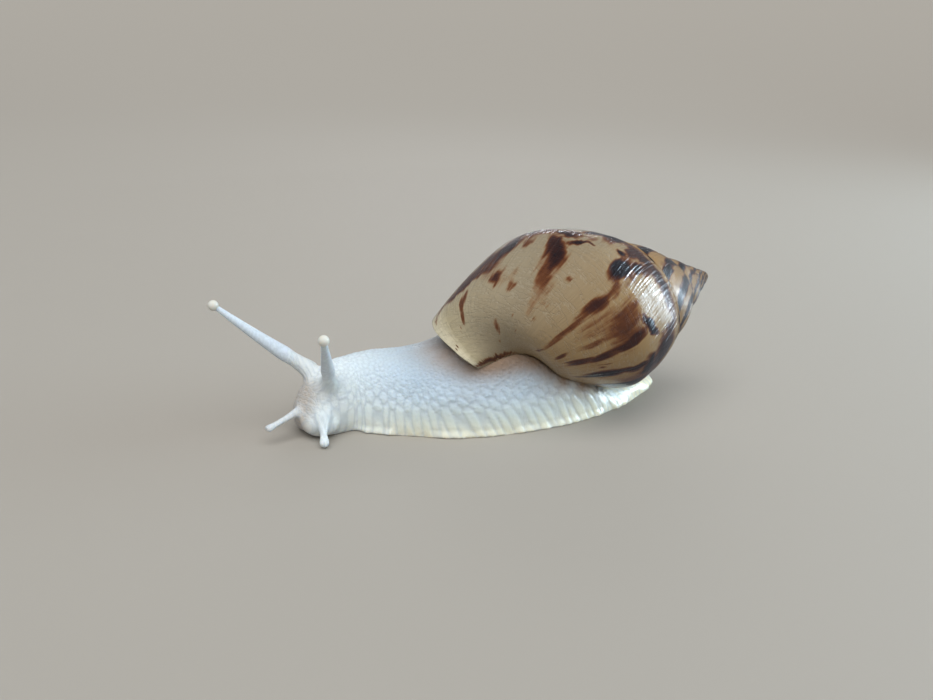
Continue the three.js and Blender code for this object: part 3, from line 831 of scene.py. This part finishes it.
def skin_finish():
    """Wet pale flesh that lets light in: bluish white above, creamy by the foot's edge, beige on
    the face and partly painted shade there, and painted shade: greyer in the grooves, brown by
    the shell and dark in the breathing hole. Fine grains lie under a film of slime."""
    finish = Material("snail_skin")
    along, rise = finish.attribute("along"), finish.attribute("rise")
    pale = finish.ramp(finish.maths("DIVIDE", rise, 14.0), (
        (0.0, (0.84, 0.79, 0.60)), (0.08, (0.74, 0.75, 0.62)), (0.20, (0.62, 0.68, 0.63)),
        (0.42, (0.54, 0.64, 0.70)), (0.72, (0.46, 0.57, 0.66)), (1.0, (0.44, 0.54, 0.61)),
    ))
    leading = finish.eased(along, 20.0, 6.0)
    fair = finish.blend(finish.maths("MULTIPLY", leading, 0.7), pale, (0.88, 0.95, 0.94, 1))
    trailing = finish.eased(along, 40.0, 70.0)
    creamy = finish.blend(finish.maths("MULTIPLY", trailing, 0.95), fair, (0.96, 0.86, 0.58, 1))
    # The face's own beige, darkened as painted shade where the face is turned from the light.
    beige_and_shaded_face = finish.blend(finish.maths("MULTIPLY", finish.attribute("face"), 0.85), creamy,
                         (0.48, 0.395, 0.31, 1))
    feelered = finish.blend(finish.attribute("feeler"), beige_and_shaded_face, (0.64, 0.72, 0.78, 1))
    # Painted shade: the grooves between the pebbles are painted greyer.
    in_groove = finish.maths("SUBTRACT", 1.0, finish.attribute("tops"))
    groove_shaded = finish.blend(finish.maths("MULTIPLY", in_groove, 0.45), feelered,
                           (0.44, 0.50, 0.54, 1))
    # Painted shade: brown on the skin close to the shell.
    shadowed = finish.blend(finish.maths("MULTIPLY", finish.attribute("shaded"), 0.95), groove_shaded,
                            (0.28, 0.175, 0.10, 1))
    # Painted shade: the breathing hole is painted dark, for the shade inside it.
    hole_shaded = finish.blend(finish.attribute("hole"), shadowed, (0.16, 0.09, 0.06, 1))

    # Fine relief: grains, slanting lines and a fine noise, weaker by the foot's edge and
    # almost none on the feelers.
    place = finish.node("CombineXYZ", X=along, Y=rise, Z=0.0).outputs[0]
    grains = finish.node("TexVoronoi", {"feature": "SMOOTH_F1"}, Vector=place, Scale=1.9,
                         Smoothness=0.35).outputs["Distance"]
    slant = finish.maths("SUBTRACT", rise, finish.maths("MULTIPLY", along, 0.45))
    slanted = finish.node("CombineXYZ", X=finish.maths("MULTIPLY", along, 0.3),
                          Y=finish.maths("MULTIPLY", slant, 1.3), Z=5.0).outputs[0]
    lines = finish.noise(slanted, 1.0, 2.0, 0.5)
    fine = finish.noise(finish.node("TexCoord").outputs["Object"], 2600.0, 3.0, 0.6)
    height = finish.maths("ADD", finish.maths("MULTIPLY", fine, 0.25), lines)
    height = finish.maths("SUBTRACT", height, finish.maths("MULTIPLY", grains, 1.3))
    upward = finish.eased(rise, 3.0, 8.0, least=0.3)
    off_feeler = finish.maths("SUBTRACT", 1.0, finish.maths(
        "MULTIPLY", finish.attribute("feeler"), 0.9))
    height = finish.maths("MULTIPLY", finish.maths("MULTIPLY", height, upward), off_feeler)
    bump = finish.node("Bump", Strength=0.6, Distance=0.00018, Height=height).outputs[0]
    finish.dress(Base_Color=hole_shaded, Roughness=0.42, Subsurface_Weight=0.45,
                 Subsurface_Scale=0.0011, Subsurface_Radius=(1.0, 0.85, 0.65),
                 Coat_Weight=0.4, Coat_Roughness=0.24, Normal=bump, Coat_Normal=bump)
    return finish.material


skin_mesh.materials.clear()
skin_mesh.materials.append(skin_finish())
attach(body_skin, "root")
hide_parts("head", "neck", "foot", "tail", "mantle", "upper_tentacle_right",
            "upper_tentacle_left", "lower_tentacle_right", "lower_tentacle_left")

# ---------------------------------------------------------------- eye bulbs
# The tip of each upper feeler is a round bulb with the eye inside. In this pale form it
# is cream-coloured, with no dark spot. It grows out of the feeler's end.

bulb_radius = 0.93
bulb_finish = Material("eye_bulb")
bulb_finish.dress(Base_Color=(0.66, 0.645, 0.57, 1), Roughness=0.35, Subsurface_Weight=0.5,
                  Subsurface_Scale=0.0008, Subsurface_Radius=(1.0, 0.8, 0.55),
                  Coat_Weight=0.6, Coat_Roughness=0.12)
for side_name in ("right", "left"):
    tip = feelers["upper_" + side_name][1]
    bulb_mesh = ring_mesh("eye_bulb_" + side_name, ball(tip, (bulb_radius,) * 3))
    bulb_mesh.materials.append(bulb_finish.material)
    bulb = add_object("eye_bulb_" + side_name, bulb_mesh)
    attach(bulb, "root")
    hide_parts("eye_" + side_name)

# ---------------------------------------------------------------- floor, light and camera
# A pale matt floor, a soft sky, a window behind the tail with a bright pane that shows only
# in glossy places, and two lights far off on the snail's right. The camera is ahead of it
# on its left, and looks a little down.

world = bpy.data.worlds.new("studio")
bpy.context.scene.world = world
world.use_nodes = True
background = world.node_tree.nodes["Background"]
background.inputs["Color"].default_value = (0.9, 0.93, 1.0, 1)
background.inputs["Strength"].default_value = 0.24
daylight, pale_daylight = (0.93, 0.96, 1.0), (0.95, 0.97, 1.0)


def add_lamp(name, kind, power, colour, way):
    """A lamp of the kind at the origin, shining the way."""
    light = bpy.data.lights.new(name, kind)
    light.energy, light.color = power, colour
    lamp = add_object(name, light)
    lamp.rotation_mode = "QUATERNION"
    lamp.rotation_quaternion = way.to_track_quat("-Z", "Y")
    return lamp


def area_light(name, place, target, size, power, colour):
    """A lit rectangle of width and height `size`, at the place, that faces the target."""
    lamp = add_lamp(name, "AREA", power, colour, Vector(target) - Vector(place))
    lamp.location = Vector(place) * MM
    lamp.data.shape = "RECTANGLE"
    lamp.data.size, lamp.data.size_y = size[0] * MM, size[1] * MM
    return lamp


sky_light = add_lamp("sky_light", "SUN", 3.65, daylight, Vector((90, 190, -400)))
sky_light.data.angle = 75 * DEGREE
sky_light.visible_glossy = False  # it lights the snail and leaves no round shine on it
area_light("window_light", (498, -120, 128), (18, -18, 22), (300, 240), 2.4, (0.60, 0.82, 1.0))
glint_light = area_light("glint_light", (527, -4, 78), (30, -12, 23), (110, 90), 0.9,
                         (0.78, 0.9, 1.0))
glint_light.visible_diffuse = False
rim_light = area_light("rim_light", (560, 1190, 250), (0, 0, 25), (600, 24), 0.025, daylight)
rim_light.data.spread = 25 * DEGREE
back_light = area_light("back_light", (600, 1250, 700), (5, 0, 25), (900, 400), 0.35,
                        pale_daylight)
back_light.data.spread = 60 * DEGREE
back_light.visible_glossy = False

# The floor runs flat under the snail and curves up far behind it. Its sizes are in metres.
near_edge, flat_to, curve_radius, half_floor = -6, 0.55, 2.2, 6
ahead_way, side_way = np.array([0.4384, 0.8988]), np.array([0.8988, -0.4384])
flat_rows, bend = 12, np.linspace(0.03, 1.3, 40)
run = np.concatenate([np.linspace(near_edge, flat_to, flat_rows),
                      flat_to + curve_radius * np.sin(bend)])
climb = np.concatenate([np.zeros(flat_rows), curve_radius - curve_radius * np.cos(bend)])
wide = np.linspace(-half_floor, half_floor, 5)
sweep = np.zeros((len(run), len(wide), 3))
sweep[..., :2] = run[:, None, None] * ahead_way + wide[None, :, None] * side_way
sweep[..., 2] = climb[:, None]
corners = np.arange(len(run) * len(wide)).reshape(-1, len(wide))
tiles = np.stack([corners[:-1, :-1], corners[:-1, 1:], corners[1:, 1:], corners[1:, :-1]],
                 axis=-1).reshape(-1, 4)
floor_mesh = bpy.data.meshes.new("floor")
floor_mesh.from_pydata(sweep.reshape(-1, 3).tolist(), [], tiles.tolist())
floor_mesh.shade_smooth()
floor_finish = Material("pale_floor")
floor_finish.dress(Base_Color=(0.335, 0.305, 0.26, 1), Roughness=0.7)
floor_mesh.materials.append(floor_finish.material)
floor = add_object("floor", floor_mesh)
floor.visible_glossy = False  # the glossy shell shows the lights, with no pale veil over it

bpy.context.scene.view_settings.view_transform = "Standard"
camera_data = bpy.data.cameras.new("camera")
camera_data.sensor_width = 36
camera_data.lens = 38.2
camera_data.clip_start = 0.01
camera = add_object("camera", camera_data)
camera_place = Vector((-85.220, -156.478, 68.0)) * MM
right = Vector((0.902841, -0.428730, 0.032709))
up = Vector((0.102351, 0.288173, 0.952093))
back = Vector((-0.417616, -0.856240, 0.304055))
camera.matrix_world = Matrix((
    (right.x, up.x, back.x, camera_place.x), (right.y, up.y, back.y, camera_place.y),
    (right.z, up.z, back.z, camera_place.z), (0, 0, 0, 1),
))
bpy.context.scene.camera = camera
